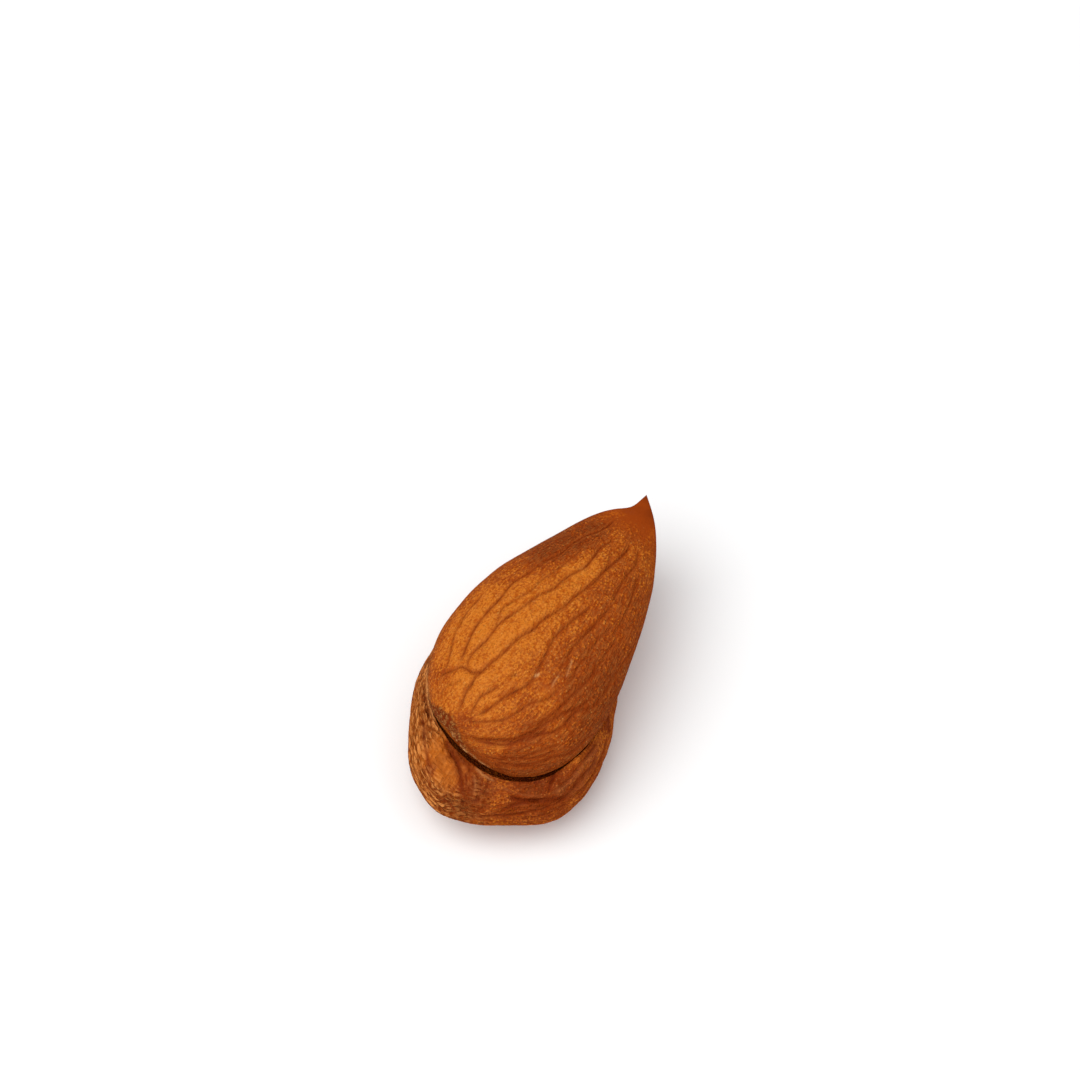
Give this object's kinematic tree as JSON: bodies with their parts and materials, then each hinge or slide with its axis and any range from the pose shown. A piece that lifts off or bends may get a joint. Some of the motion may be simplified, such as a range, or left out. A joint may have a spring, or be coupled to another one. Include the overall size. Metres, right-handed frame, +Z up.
{
  "type": "double almond",
  "caption": "Shelled almond kernel with a pointed tip and ribbed brown skin, nested in the hollow top of its twin from the same shell.",
  "frame": {"origin": "on the surface the pair lies on, under the middle of its outline", "axes": "+Y towards the tips, +Z up from the resting spot to the upper kernel's back, +X to the side"},
  "size_m": [0.0146, 0.0266, 0.0101],
  "materials": {
    "almond_skin": "dry matt skin with raised veins",
    "almond_skin_dark": "dry matt wrinkled skin"
  },
  "bodies": {
    "root": {"upper_kernel": "almond_skin", "lower_kernel": "almond_skin_dark"}
  },
  "joints": []
}
